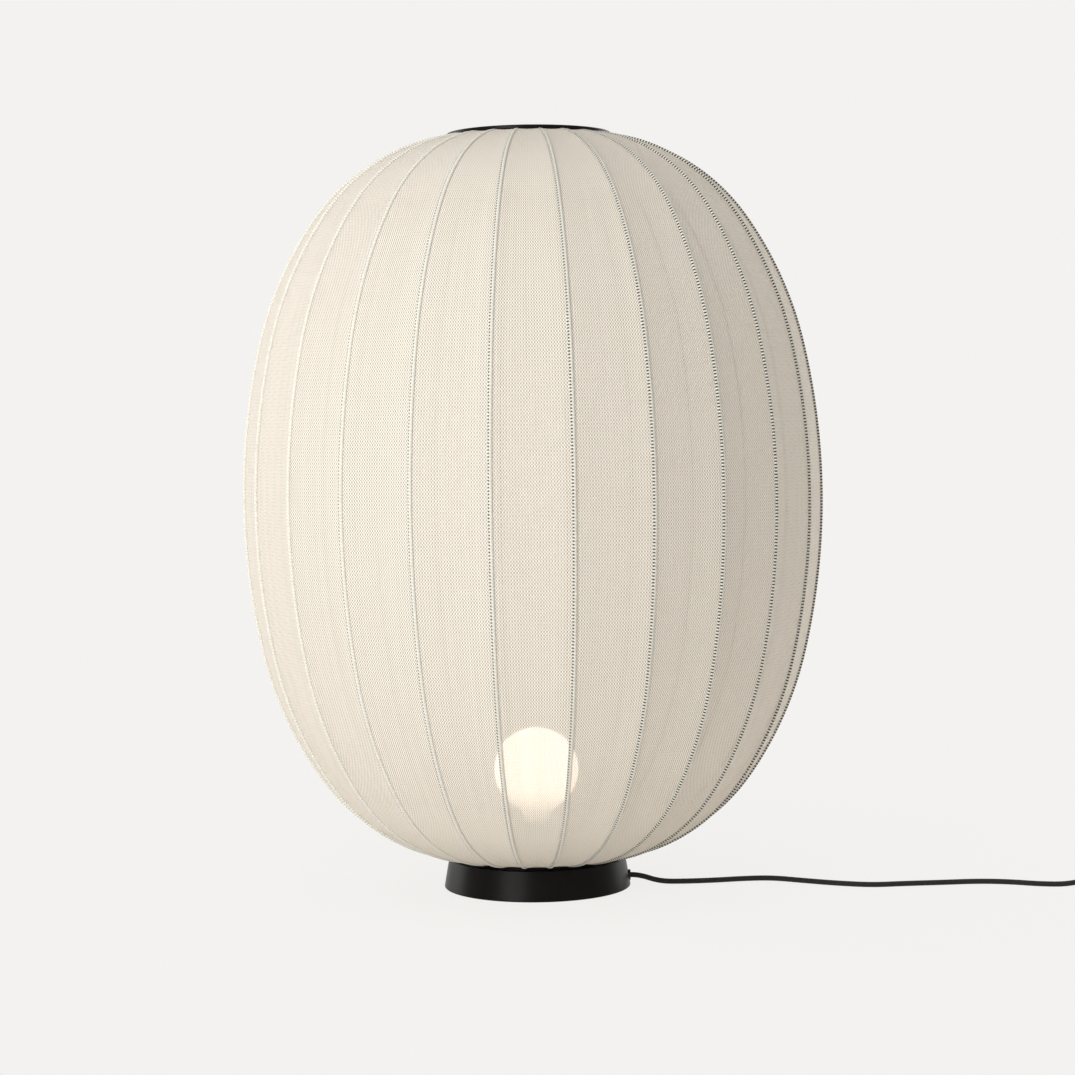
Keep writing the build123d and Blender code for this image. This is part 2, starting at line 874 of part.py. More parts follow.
def switch_bushings():
    """The strain reliefs on both sides of the switch."""
    length = switch_x - switch_radius - run_points[-1][0]
    taper = Pos(run_points[-1][0] - switch_x, 0, switch_split_z) * strain_relief(length + switch_wall)
    taper -= upright(switch_radius, 0.0, switch_height)
    left = taper + switch_spigots()[1]
    return at_switch(Compound(children=[left, Rot(0, 0, 180) * left]))


# Coil, tie and plug
def coil_place(turn):
    """The coil's centre line: it spirals in and out and climbs a layer at each turning."""
    period = coil_turns_per_layer + coil_climb_turns
    layer = min(int(turn / period + 1e-9), coil_layers - 1)
    part = turn - layer * period
    inward = layer % 2 == 0
    sign = -1.0 if inward else 1.0
    inner_radius = coil_outer_radius - coil_pitch * coil_turns_per_layer
    start_radius = coil_outer_radius if inward else inner_radius
    if part <= coil_turns_per_layer:
        radius = start_radius + sign * coil_pitch * part
        climbed = 0.0
    else:
        share = (part - coil_turns_per_layer) / coil_climb_turns
        radius = start_radius + sign * coil_pitch * coil_turns_per_layer
        radius += sign * coil_pitch * coil_climb_turns * share * (1 - share)
        climbed = share * share * (3 - 2 * share)
    angle = 2 * math.pi * (turn - 0.25)
    height = coil_z + coil_layer_height * (layer + climbed)
    return Vector(coil_x + radius * math.cos(angle), coil_y + radius * math.sin(angle), height)


def least_gap(path, step=2.5):
    """The least distance between a tube's surface and itself, measured on points of its path."""
    count = round(path.length / step)
    points = [tuple(path @ (i / count)) for i in range(count + 1)]
    apart = round(4 * cord_diameter / step)
    least = min(
        math.dist(points[i], points[j]) for i in range(len(points)) for j in range(i + apart, len(points))
    )
    return least - cord_diameter


def cord_coil():
    """The spare cord as one unbroken winding, and its end lying down to the plug."""
    turns = coil_layers * coil_turns_per_layer + (coil_layers - 1) * coil_climb_turns
    along = Vector(1, 0, 0)
    wound = winding(coil_place, turns, along, -along)
    start = coil_place(0.0)
    end = coil_place(turns)
    lip = end - along * coil_run_out
    down = Vector(lip.X - coil_drop_length, lip.Y, plug_z)
    edges = [Edge.make_line(start - along * cord_diameter, start)] + wound + [Edge.make_line(end, lip)]
    edges += biarc(lip, -along, down, -along)
    edges.append(Edge.make_line(down, down - along * cord_diameter))
    path = Wire(edges)
    tube = swept_round(path, cord_radius)
    report_tube("cord_coil", tube, path)
    print("cord_coil least gap to itself", round(least_gap(path), 2))
    return tube, down - along * cord_diameter


def coil_tie():
    """A thin flat tie round the bundle of turns, with a short ear."""
    middle = (coil_outer_radius + coil_outer_radius - coil_pitch * coil_turns_per_layer) / 2
    half_bundle = middle - (coil_outer_radius - coil_pitch * coil_turns_per_layer)
    bulge = coil_pitch * coil_climb_turns / 4
    room = cord_radius + tie_clearance
    inner_width = 2 * (half_bundle + bulge + room)
    inner_height = (coil_layers - 1) * coil_layer_height + 2 * room
    band = RectangleRounded(
        inner_width + 2 * tie_thickness, inner_height + 2 * tie_thickness, tie_corner_radius + tie_thickness
    )
    band -= RectangleRounded(inner_width, inner_height, tie_corner_radius)
    ear = Pos(inner_width / 2 + tie_thickness / 2 + tie_ear_length / 2, 0) * Rectangle(
        tie_ear_length + tie_thickness, tie_thickness
    )
    middle_z = coil_z + (coil_layers - 1) * coil_layer_height / 2
    plane = Plane(origin=(coil_x + middle, coil_y, middle_z), x_dir=(1, 0, 0), z_dir=(0, -1, 0))
    return plane * extrude(band + ear, tie_width / 2, both=True)


def plug_body(cord_end):
    """The flat plug and its strain relief, pointing towards -X from the cord's end."""
    back = -plug_relief_length
    front = back - plug_length
    outline = Polyline(
        (back, plug_back_width / 2),
        (back - plug_shoulder, plug_width / 2),
        (front + plug_nose_length, plug_width / 2),
        (front, plug_nose_width / 2),
        (front, -plug_nose_width / 2),
        (front + plug_nose_length, -plug_width / 2),
        (back - plug_shoulder, -plug_width / 2),
        (back, -plug_back_width / 2),
        close=True,
    )
    body = extrude(make_face(outline), plug_height / 2, both=True)
    body = fillet(body.edges(), plug_edge_round)
    body += Rot(0, 0, 180) * strain_relief(plug_relief_length + plug_edge_round)
    body = Pos(*cord_end) * body
    return body - plug_pins(cord_end).children


def plug_pins(cord_end):
    """The two round pins, let into the body."""
    face_x = cord_end.X - plug_relief_length - plug_length
    pins = []
    for side in (-1, 1):
        y = cord_end.Y + side * pin_spacing / 2
        root = (face_x + pin_depth, y, cord_end.Z)
        end = (face_x - pin_length, y, cord_end.Z)
        pin = bar_between(root, end, pin_diameter / 2)
        tip = pin.edges().sort_by(Axis.X)[0]
        pins.append(fillet(tip, pin_tip_round))
    return Compound(children=pins)


# All the pieces under their own names
coil, coil_end = cord_coil()
rod = rib_rod()
low_ring = bottom_ring()
low_clamp = bottom_rib_clamp()
cover_back, cover_front = knitted_cover()

nodes = {
    "knitted_cover_front": cover_front,
    "knitted_cover_back": cover_back,
    "bottom_ring": low_ring,
    "top_ring": flipped(low_ring),
    "rib_clamps": Compound(children=[low_clamp, flipped(low_clamp)]),
    "ring_screws": ring_screws(),
    "base_shell": base_shell(),
    "counterweight": counterweight(),
    "bottom_cover": bottom_cover(),
    "base_pad": base_pad(),
    "base_screws": base_screws(),
    "threaded_tube": threaded_tube(),
    "tube_nut": tube_nut(),
    "holder_cup": holder_cup(),
    "holder_core": holder_core(),
    "holder_barrel": holder_barrel(),
    "thread_sleeve": thread_sleeve(),
    "centre_contact": centre_contact(),
    "bulb_globe": bulb_globe(),
    "bulb_cap": bulb_cap(),
    "bulb_insulator": bulb_insulator(),
    "bulb_tip": bulb_tip(),
    "inner_cord": inner_cord(),
    "cord_bushing": cord_bushing(),
    "cord_clamp": cord_clamp(),
    "cord_run": cord_tube("cord_run", run_points),
    "switch_lower": switch_lower(),
    "switch_upper": switch_upper(),
    "switch_button": switch_button(),
    "switch_spring": switch_spring(),
    "switch_bushings": switch_bushings(),
    "cord_tail": cord_tube("cord_tail", tail_points),
    "cord_coil": coil,
    "coil_tie": coil_tie(),
    "plug_body": plug_body(coil_end),
    "plug_pins": plug_pins(coil_end),
}
for number, place in enumerate(around(rib_count, half_gore_angle), start=1):
    nodes[f"rib_rod_{number:02d}"] = place * rod

for name, shape in nodes.items():
    export_step(shape, f"parts/{name}.step")
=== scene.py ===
import math

import bmesh
import bpy
from mathutils import Matrix, Vector


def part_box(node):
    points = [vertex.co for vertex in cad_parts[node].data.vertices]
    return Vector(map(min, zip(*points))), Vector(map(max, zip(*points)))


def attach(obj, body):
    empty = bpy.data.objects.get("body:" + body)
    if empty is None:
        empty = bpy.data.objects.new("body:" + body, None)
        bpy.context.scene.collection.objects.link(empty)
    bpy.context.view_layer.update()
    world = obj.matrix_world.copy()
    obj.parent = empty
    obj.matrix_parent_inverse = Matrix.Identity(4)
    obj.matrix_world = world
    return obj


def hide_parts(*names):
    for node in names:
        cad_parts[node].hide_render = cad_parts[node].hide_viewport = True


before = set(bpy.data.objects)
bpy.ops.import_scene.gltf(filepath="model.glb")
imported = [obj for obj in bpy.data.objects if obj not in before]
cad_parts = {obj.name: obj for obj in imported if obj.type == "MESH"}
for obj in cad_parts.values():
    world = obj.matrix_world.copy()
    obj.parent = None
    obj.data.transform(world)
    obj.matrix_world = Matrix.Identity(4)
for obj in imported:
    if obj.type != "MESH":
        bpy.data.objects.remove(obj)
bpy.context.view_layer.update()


# Camera: a long lens a little above the middle of the shade, tipped down to the floor. Its slight
# roll shares out the lean of the photographed shade.
sensor_width = 36.0
lens_length = 82.65
sight_limit = 50.0
camera_place = (0.0046, -2.7775, 0.5304)
tip_down = math.radians(2.79)
roll = math.radians(-0.7)

camera_data = bpy.data.cameras.new("camera")
camera_data.sensor_width = sensor_width
camera_data.lens = lens_length
camera_data.clip_end = sight_limit
camera = bpy.data.objects.new("camera", camera_data)
bpy.context.scene.collection.objects.link(camera)
bpy.context.scene.camera = camera
tipped = Matrix.Rotation(math.radians(90.0) - tip_down, 3, "X")
camera.location = camera_place
camera.rotation_euler = (tipped @ Matrix.Rotation(roll, 3, "Z")).to_euler()


# Mains cord, base to foot switch: two cores under a black braided polyester sleeve. It comes
# straight out of the base, drops to the floor and wanders off to the right in loose bends.
cord_radius = 0.003
cord_lie = 0.00305
cord_steps, cord_sides = 12, 4
strands_along, strands_round = 400.0, 8.0
braid_height = 0.0003
run_points = [
    (0.1053, 0.0, 0.011),
    (0.1153, 0.0, 0.011),
    (0.1385, 0.0, cord_lie),
    (0.165, -0.002, cord_lie),
    (0.2, 0.002, cord_lie),
    (0.236, 0.011, cord_lie),
    (0.268, 0.0125, cord_lie),
    (0.3, -0.006, cord_lie),
    (0.336, -0.0245, cord_lie),
    (0.374, -0.0375, cord_lie),
    (0.41, -0.0315, cord_lie),
    (0.452, -0.028, cord_lie),
    (0.495, -0.0225, cord_lie),
    (0.53, -0.0285, cord_lie),
    (0.562, -0.044, cord_lie),
    (0.592, -0.047, cord_lie),
    (0.617, -0.043, 0.008),
    (0.637, -0.043, 0.008),
]


def linear(hex_colour):
    """An sRGB hex colour as linear red, green, blue and alpha."""
    channels = [int(hex_colour[i : i + 2], 16) / 255 for i in (0, 2, 4)]
    return tuple(c / 12.92 if c <= 0.04045 else ((c + 0.055) / 1.055) ** 2.4 for c in channels) + (1.0,)


def new_material(name):
    """An empty material and its node tree."""
    material = bpy.data.materials.new(name)
    material.use_nodes = True
    material.node_tree.nodes.clear()
    return material, material.node_tree


def add_node(tree, kind, inputs=None, **settings):
    """A node with its settings, and its inputs set or linked. Sockets of one name go by number."""
    node = tree.nodes.new(kind)
    for setting, value in settings.items():
        setattr(node, setting, value)
    for socket, value in (inputs or {}).items():
        if isinstance(value, bpy.types.NodeSocket):
            tree.links.new(value, node.inputs[socket])
        else:
            node.inputs[socket].default_value = value
    return node


def braided_sleeve():
    """Braided polyester: two sets of strands that cross, each a soft ridge, dull black, with painted
    shade where the strands dip.
    """
    material, tree = new_material("braided_polyester")
    uv = add_node(tree, "ShaderNodeTexCoord").outputs["UV"]
    place = add_node(tree, "ShaderNodeSeparateXYZ", {0: uv})
    strands = []
    for lean in (1.0, -1.0):
        around = add_node(
            tree, "ShaderNodeMath", {0: place.outputs[1], 1: lean * strands_round}, operation="MULTIPLY"
        )
        turned = add_node(
            tree,
            "ShaderNodeMath",
            {0: place.outputs[0], 1: strands_along, 2: around.outputs[0]},
            operation="MULTIPLY_ADD",
        )
        phase = add_node(
            tree, "ShaderNodeMath", {0: turned.outputs[0], 1: math.tau}, operation="MULTIPLY"
        )
        strands.append(add_node(tree, "ShaderNodeMath", {0: phase.outputs[0]}, operation="SINE"))
    crossing = add_node(
        tree, "ShaderNodeMath", {0: strands[0].outputs[0], 1: strands[1].outputs[0]}, operation="MULTIPLY"
    )
    height = add_node(
        tree, "ShaderNodeMapRange", {"Value": crossing.outputs[0], "From Min": -1.0, "From Max": 1.0}
    )
    # The colour goes darker where the strands dip: painted shade between the strands.
    colour = add_node(
        tree,
        "ShaderNodeMix",
        {"Factor": height.outputs[0], 6: linear("0C0C0C"), 7: linear("1B1B1A")},
        data_type="RGBA",
    )
    bump = add_node(
        tree, "ShaderNodeBump", {"Strength": 0.5, "Distance": braid_height, "Height": height.outputs[0]}
    )
    shader = add_node(
        tree,
        "ShaderNodeBsdfPrincipled",
        {
            "Base Color": colour.outputs[2],
            "Roughness": 0.75,
            "Specular IOR Level": 0.3,
            "Sheen Weight": 0.15,
            "Normal": bump.outputs[0],
        },
    )
    add_node(tree, "ShaderNodeOutputMaterial", {"Surface": shader.outputs[0]})
    return material


def smooth_line(name, points, radius, material):
    """A smooth round line with the given points as its control points."""
    curve = bpy.data.curves.new(name, "CURVE")
    curve.dimensions = "3D"
    curve.resolution_u = cord_steps
    curve.bevel_depth = radius
    curve.bevel_resolution = cord_sides
    curve.use_fill_caps = True
    spline = curve.splines.new("NURBS")
    spline.points.add(len(points) - 1)
    for point, place in zip(spline.points, points):
        point.co = (*place, 1.0)
    spline.order_u = 3
    spline.use_endpoint_u = True
    curve.materials.append(material)
    line = bpy.data.objects.new(name, curve)
    bpy.context.scene.collection.objects.link(line)
    return line


textile = braided_sleeve()
mains_cord = smooth_line("mains_cord", run_points, cord_radius, textile)
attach(mains_cord, "base")
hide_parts("cord_run")


# Spare cord, foot switch to plug: the same braided cord, wound by hand into a round coil of four
# layers and tied. Its end comes off the top layer and lies down to the plug.
coil_centre = Vector((0.82, -0.0025, 0.0036))
coil_radius = 0.0395
coil_pitch = 0.0068
coil_layer = 0.0065
coil_turns = 8.5
coil_start_turn = 0.25
layer_period = 2.25
climb_share = 0.5
points_per_turn = 16
quadratic_shrink = 0.9905
tail_points = [
    (0.743, -0.043, 0.008),
    (0.757, -0.043, 0.008),
    (0.779, -0.041, 0.0036),
    (0.797, -0.042, 0.0036),
]
end_points = [
    (0.807, 0.037, 0.0231),
    (0.794, 0.037, 0.0231),
    (0.779, 0.037, 0.0226),
    (0.763, 0.037, 0.015),
    (0.747, 0.037, 0.0073),
    (0.735, 0.037, 0.00685),
    (0.726, 0.037, 0.00685),
]


def coil_place(turn):
    """The cord's middle after so many turns: spiral in, climb half a turn, spiral out."""
    layer = int(turn / layer_period)
    part = turn - layer * layer_period
    inwards = -1.0 if layer % 2 == 0 else 1.0
    spiral_turns = layer_period - climb_share
    start = coil_radius if layer % 2 == 0 else coil_radius - coil_pitch * spiral_turns
    radius = start + inwards * coil_pitch * min(part, spiral_turns)
    climbed = 0.0
    if part > spiral_turns:
        share = (part - spiral_turns) / climb_share
        radius += inwards * coil_pitch * climb_share * share * (1 - share)
        climbed = share * share * (3 - 2 * share)
    angle = math.tau * (turn - coil_start_turn)
    way = Vector((math.cos(angle), math.sin(angle), 0.0))
    rise = Vector((0, 0, coil_layer * (layer + climbed)))
    return coil_centre + way * (radius / quadratic_shrink) + rise


turn_count = round(coil_turns * points_per_turn)
turn_points = [tuple(coil_place(i / points_per_turn)) for i in range(turn_count + 1)]
spare_cord = smooth_line("spare_cord", tail_points + turn_points + end_points, cord_radius, textile)
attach(spare_cord, "base")
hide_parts("cord_tail", "cord_coil")


# The same cord inside the base: through the bushing and the clamp, then up the threaded tube to
# the lamp holder.
exit_x, exit_y, exit_z = run_points[0]
core_under_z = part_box("holder_core")[0].z
inner_points = [
    (exit_x, exit_y, exit_z),
    (0.06, 0.0, exit_z),
    (0.03, 0.0, exit_z),
    (0.013, 0.0, exit_z),
    (0.0, 0.0, exit_z + 0.001),
    (0.0, 0.0, exit_z + 0.014),
    (0.0, 0.0, core_under_z - 0.008),
    (0.0, 0.0, core_under_z),
]
inner_cord = smooth_line("inner_cord_sleeve", inner_points, cord_radius, textile)
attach(inner_cord, "base")
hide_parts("inner_cord")


# Base shell: pressed sheet steel, powder coated satin black. The coat's fine orange peel breaks
# up the highlight, and handling has left it a little duller in patches.
shell_peel = 0.0012
handled_scale = 28.0


def dress(nodes, material):
    """Give CAD nodes their finish."""
    for node in nodes:
        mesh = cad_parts[node].data
        mesh.materials.clear()
        mesh.materials.append(material)


def painted_steel(name, peel_pitch, dark, pale):
    """Powder coat or lacquer: a satin film with an orange peel of a given pitch."""
    material, tree = new_material(name)
    place = add_node(tree, "ShaderNodeTexCoord").outputs["Object"]
    peel = add_node(tree, "ShaderNodeTexNoise", {"Vector": place, "Scale": 1 / peel_pitch, "Detail": 2.0})
    handled = add_node(
        tree, "ShaderNodeTexNoise", {"Vector": place, "Scale": handled_scale, "Detail": 4.0}
    )
    colour = add_node(
        tree,
        "ShaderNodeMix",
        {"Factor": handled.outputs[0], 6: linear(dark), 7: linear(pale)},
        data_type="RGBA",
    )
    roughness = add_node(
        tree,
        "ShaderNodeMapRange",
        {"Value": handled.outputs[0], "From Min": 0.3, "From Max": 0.7, "To Min": 0.28, "To Max": 0.36},
    )
    bump = add_node(
        tree, "ShaderNodeBump", {"Strength": 0.12, "Distance": 0.0002, "Height": peel.outputs[0]}
    )
    shader = add_node(
        tree,
        "ShaderNodeBsdfPrincipled",
        {
            "Base Color": colour.outputs[2],
            "Roughness": roughness.outputs[0],
            "Specular IOR Level": 0.07,
            "Normal": bump.outputs[0],
        },
    )
    add_node(tree, "ShaderNodeOutputMaterial", {"Surface": shader.outputs[0]})
    return material


dress(["base_shell"], painted_steel("powder_coated_steel", shell_peel, "0A0807", "100E0C"))


# Under the base: a cast iron weight, the zinc plated cover that closes the shell and the felt
# pad that the lamp stands on.
mould_grain_scale = 700.0
plate_cloud_scale = 90.0
felt_fibre_scale = 1600.0


def cast_iron():
    """Sand cast iron: dark grey, matt, with the grain of the mould."""
    material, tree = new_material("cast_iron")
    place = add_node(tree, "ShaderNodeTexCoord").outputs["Object"]
    grain = add_node(
        tree, "ShaderNodeTexNoise", {"Vector": place, "Scale": mould_grain_scale, "Detail": 4.0}
    )
    colour = add_node(
        tree,
        "ShaderNodeMix",
        {"Factor": grain.outputs[0], 6: linear("2B2B2C"), 7: linear("4A4846")},
        data_type="RGBA",
    )
    bump = add_node(
        tree, "ShaderNodeBump", {"Strength": 0.6, "Distance": 0.0005, "Height": grain.outputs[0]}
    )
    shader = add_node(
        tree,
        "ShaderNodeBsdfPrincipled",
        {"Base Color": colour.outputs[2], "Metallic": 0.6, "Roughness": 0.7, "Normal": bump.outputs[0]},
    )
    add_node(tree, "ShaderNodeOutputMaterial", {"Surface": shader.outputs[0]})
    return material


def plated_steel(name, tint, roughness):
    """Plated or rolled metal: bright, with faint cloudy patches where it has dulled."""
    material, tree = new_material(name)
    place = add_node(tree, "ShaderNodeTexCoord").outputs["Object"]
    cloud = add_node(
        tree, "ShaderNodeTexNoise", {"Vector": place, "Scale": plate_cloud_scale, "Detail": 5.0}
    )
    rubbed = add_node(
        tree,
        "ShaderNodeMapRange",
        {
            "Value": cloud.outputs[0],
            "From Min": 0.3,
            "From Max": 0.7,
            "To Min": roughness,
            "To Max": roughness + 0.15,
        },
    )
    shade = add_node(
        tree,
        "ShaderNodeMapRange",
        {"Value": cloud.outputs[0], "From Min": 0.2, "From Max": 0.8, "To Min": 0.85, "To Max": 1.05},
    )
    colour = add_node(
        tree, "ShaderNodeVectorMath", {0: linear(tint)[:3], 1: shade.outputs[0]}, operation="MULTIPLY"
    )
    shader = add_node(
        tree,
        "ShaderNodeBsdfPrincipled",
        {"Base Color": colour.outputs[0], "Metallic": 1.0, "Roughness": rubbed.outputs[0]},
    )
    add_node(tree, "ShaderNodeOutputMaterial", {"Surface": shader.outputs[0]})
    return material


def pressed_felt():
    """Pressed wool felt: matt black with short fibres lying every way."""
    material, tree = new_material("pressed_felt")
    place = add_node(tree, "ShaderNodeTexCoord").outputs["Object"]
    fibre = add_node(
        tree,
        "ShaderNodeTexNoise",
        {"Vector": place, "Scale": felt_fibre_scale, "Detail": 3.0, "Distortion": 2.0},
    )
    colour = add_node(
        tree,
        "ShaderNodeMix",
        {"Factor": fibre.outputs[0], 6: linear("0B0B0B"), 7: linear("262626")},
        data_type="RGBA",
    )
    bump = add_node(
        tree, "ShaderNodeBump", {"Strength": 0.8, "Distance": 0.0004, "Height": fibre.outputs[0]}
    )
    shader = add_node(
        tree,
        "ShaderNodeBsdfPrincipled",
        {
            "Base Color": colour.outputs[2],
            "Roughness": 0.95,
            "Sheen Weight": 0.3,
            "Normal": bump.outputs[0],
        },
    )
    add_node(tree, "ShaderNodeOutputMaterial", {"Surface": shader.outputs[0]})
    return material


dress(["counterweight"], cast_iron())
dress(
    ["bottom_cover", "base_screws", "tube_nut"],
    plated_steel("zinc_plated_steel", "C9CBCC", 0.3),
)
dress(["base_pad"], pressed_felt())


# Lamp holder: moulded black phenolic cup and barrel on a brass threaded tube, with a ceramic core,
# a nickel plated thread sleeve and a sprung brass contact.
drift_scale = 40.0


def moulded(name, dark, pale, roughness, texture_pitch):
    """Moulded plastic, rubber or ceramic: one even colour with the fine texture of its mould."""
    material, tree = new_material(name)
    place = add_node(tree, "ShaderNodeTexCoord").outputs["Object"]
    spark = add_node(
        tree, "ShaderNodeTexNoise", {"Vector": place, "Scale": 1 / texture_pitch, "Detail": 2.0}
    )
    drift = add_node(
        tree, "ShaderNodeTexNoise", {"Vector": place, "Scale": drift_scale, "Detail": 3.0}
    )
    colour = add_node(
        tree,
        "ShaderNodeMix",
        {"Factor": drift.outputs[0], 6: linear(dark), 7: linear(pale)},
        data_type="RGBA",
    )
    rubbed = add_node(
        tree,
        "ShaderNodeMapRange",
        {
            "Value": drift.outputs[0],
            "From Min": 0.3,
            "From Max": 0.7,
            "To Min": roughness,
            "To Max": roughness + 0.1,
        },
    )
    bump = add_node(
        tree, "ShaderNodeBump", {"Strength": 0.2, "Distance": 0.0002, "Height": spark.outputs[0]}
    )
    shader = add_node(
        tree,
        "ShaderNodeBsdfPrincipled",
        {"Base Color": colour.outputs[2], "Roughness": rubbed.outputs[0], "Normal": bump.outputs[0]},
    )
    add_node(tree, "ShaderNodeOutputMaterial", {"Surface": shader.outputs[0]})
    return material


dress(["holder_cup", "holder_barrel"], moulded("phenolic_moulding", "0D0C0B", "181614", 0.38, 0.0006))
dress(["holder_core"], moulded("steatite_ceramic", "D9D3C4", "E8E2D4", 0.55, 0.0004))
dress(["threaded_tube", "centre_contact"], plated_steel("turned_brass", "C9A45C", 0.25))
dress(["thread_sleeve"], plated_steel("nickel_plated_brass", "CFC8BB", 0.22))


# Bulb: a 95 mm globe of opal glass, lit, on an aluminium screw cap with a black glass insulator
# and a tinned contact.
glow_strength = 2.9
glow_full_depth, glow_foot_depth = 0.064, 0.118
flash_scale = 18.0
globe_low, globe_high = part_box("bulb_globe")


def lit_opal_glass():
    """Opal glass with a lamp inside: an even warm glow that fades from the middle to the neck."""
    material, tree = new_material("lit_opal_glass")
    place = add_node(tree, "ShaderNodeTexCoord").outputs["Object"]
    flash = add_node(
        tree, "ShaderNodeTexNoise", {"Vector": place, "Scale": flash_scale, "Detail": 1.0}
    )
    height = add_node(tree, "ShaderNodeSeparateXYZ", {0: place})
    strength = add_node(
        tree,
        "ShaderNodeMapRange",
        {
            "Value": height.outputs[2],
            "From Min": globe_high.z - glow_foot_depth,
            "From Max": globe_high.z - glow_full_depth,
            "To Min": 0.0,
            "To Max": glow_strength,
        },
    )
    glow = add_node(
        tree,
        "ShaderNodeMix",
        {"Factor": flash.outputs[0], 6: linear("FFE6CC"), 7: linear("FFEAD4")},
        data_type="RGBA",
    )
    shader = add_node(
        tree,
        "ShaderNodeBsdfPrincipled",
        {
            "Base Color": linear("F4F0E8"),
            "Roughness": 0.12,
            "Emission Color": glow.outputs[2],
            "Emission Strength": strength.outputs[0],
        },
    )
    add_node(tree, "ShaderNodeOutputMaterial", {"Surface": shader.outputs[0]})
    return material


dress(["bulb_globe"], lit_opal_glass())
dress(["bulb_cap"], plated_steel("rolled_aluminium", "D6D7D8", 0.28))
dress(["bulb_insulator"], moulded("black_glass", "060606", "0B0B0C", 0.08, 0.002))
dress(["bulb_tip"], plated_steel("tinned_contact", "B9BABB", 0.4))


# Rings: laser cut steel, powder coated black like the base. The rods lie in grooves between each
# ring and its clamp, which small countersunk screws pull together.
ring_peel = 0.0009
dress(
    ["bottom_ring", "top_ring", "rib_clamps"],
    painted_steel("powder_coated_ring", ring_peel, "0B0A09", "141210"),
)
dress(["ring_screws"], plated_steel("blackened_screw_steel", "3A3836", 0.35))


# Ribs: 24 spring steel rods, bent to the outline of the shade and dipped in a dark grey lacquer.
# Their straight ends lie in the grooves of the rings.
rib_count = 24
lacquer_peel = 0.0008
rib_rods = [f"rib_rod_{number:02d}" for number in range(1, rib_count + 1)]
dress(rib_rods, painted_steel("lacquered_spring_steel", lacquer_peel, "2A2825", "3A3733"))


# Knitted cover: one tube of off-white polyester yarn, knitted on a circular machine, stretched
# over the ribs. It lies flat from rib to rib and is drawn in a little between them.
shade_radius = 0.325
flank_radius, waist_radius, crown_radius = 0.7596, 0.4056, 0.2205
flank_angle, waist_angle = math.radians(13.1), math.radians(35.08)
rib_line_depth = 0.0026
hem_radius = 0.0924
row_pitch = 0.009
columns_per_gore = 14
merge_distance = 0.00001
middle_draw = 0.0012
groove_depth = 0.0004
groove_reach = 0.06
hem_draw = 0.0008
hem_lift = 0.0006
hem_share = 0.12
gore_angle = math.tau / rib_count
shade_low, shade_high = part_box("knitted_cover_front")
shade_middle = (shade_low.z + shade_high.z) / 2

# Its stitches stand in staggered rows. Near the rings the tube is less stretched, and closes up.
wales_per_gore = 28
course_pitch = 0.0038
wale_share = 0.28
closed_radius, open_radius = 0.195, 0.235
slack_close = 0.4
eyelet_height, yarn_height = 0.1, 0.6
eyelet_fill = 0.43
tension_scale = (0.35, 0.004, 1.0)
tension_drift = 0.05
stitch_height = 0.0005
shine_through = 0.25

outline_arcs = []
centre = Vector((shade_radius - flank_radius, 0.0))
first_angle = 0.0
for radius, last_angle, next_radius in (
    (flank_radius, flank_angle, waist_radius),
    (waist_radius, waist_angle, crown_radius),
    (crown_radius, None, None),
):
    line_radius = radius - rib_line_depth
    if last_angle is None:
        last_angle = math.acos((hem_radius - centre.x) / line_radius)
    outline_arcs.append((centre.copy(), line_radius, first_angle, last_angle))
    if next_radius is not None:
        centre += Vector((math.cos(last_angle), math.sin(last_angle))) * (radius - next_radius)
    first_angle = last_angle
outline_length = sum(radius * (last - first) for _, radius, first, last in outline_arcs)


def along_outline(radius, height):
    """Distance from the widest height along the rib line, and the direction that faces out."""
    walked = 0.0
    for arc_centre, arc_radius, first, last in outline_arcs:
        angle = math.atan2(abs(height) - arc_centre.y, radius - arc_centre.x)
        if angle <= last or last == outline_arcs[-1][3]:
            break
        walked += arc_radius * (last - first)
    walked += arc_radius * (angle - first)
    facing = Vector((math.cos(angle), math.copysign(math.sin(angle), height)))
    return math.copysign(walked, height), facing


def hem_nearness(walked):
    """0 over most of the shade, rising to 1 at either hem."""
    return max(0.0, 1 - (1 - abs(walked) / outline_length) / hem_share) ** 2


def spin_outline(mesh, section):
    """Carry a section along the upper half of the rib line, then mirror it to the lower half."""
    for arc_centre, arc_radius, first, last in outline_arcs:
        spun = bmesh.ops.spin(
            mesh,
            geom=section,
            cent=(arc_centre.x, 0.0, arc_centre.y),
            axis=(0.0, -1.0, 0.0),
            angle=last - first,
            steps=round(arc_radius * (last - first) / row_pitch),
        )
        section = spun["geom_last"]
    everything = mesh.verts[:] + mesh.edges[:] + mesh.faces[:]
    bmesh.ops.mirror(mesh, geom=everything, matrix=Matrix(), merge_dist=merge_distance, axis="Z")
    bmesh.ops.remove_doubles(mesh, verts=mesh.verts[:], dist=merge_distance)


def gore_place(vertex):
    """How far across its gore a point is: -0.5 at one rib, 0 in the middle, 0.5 at the next."""
    turns = math.atan2(vertex.co.y, vertex.co.x) / gore_angle
    return turns - round(turns)


def new_piece(name, mesh, material):
    """A finished mesh as an object that rides on nothing yet."""
    bmesh.ops.recalc_face_normals(mesh, faces=mesh.faces[:])
    data = bpy.data.meshes.new(name)
    mesh.to_mesh(data)
    mesh.free()
    data.materials.append(material)
    data.shade_smooth()
    piece = bpy.data.objects.new(name, data)
    bpy.context.scene.collection.objects.link(piece)
    return piece


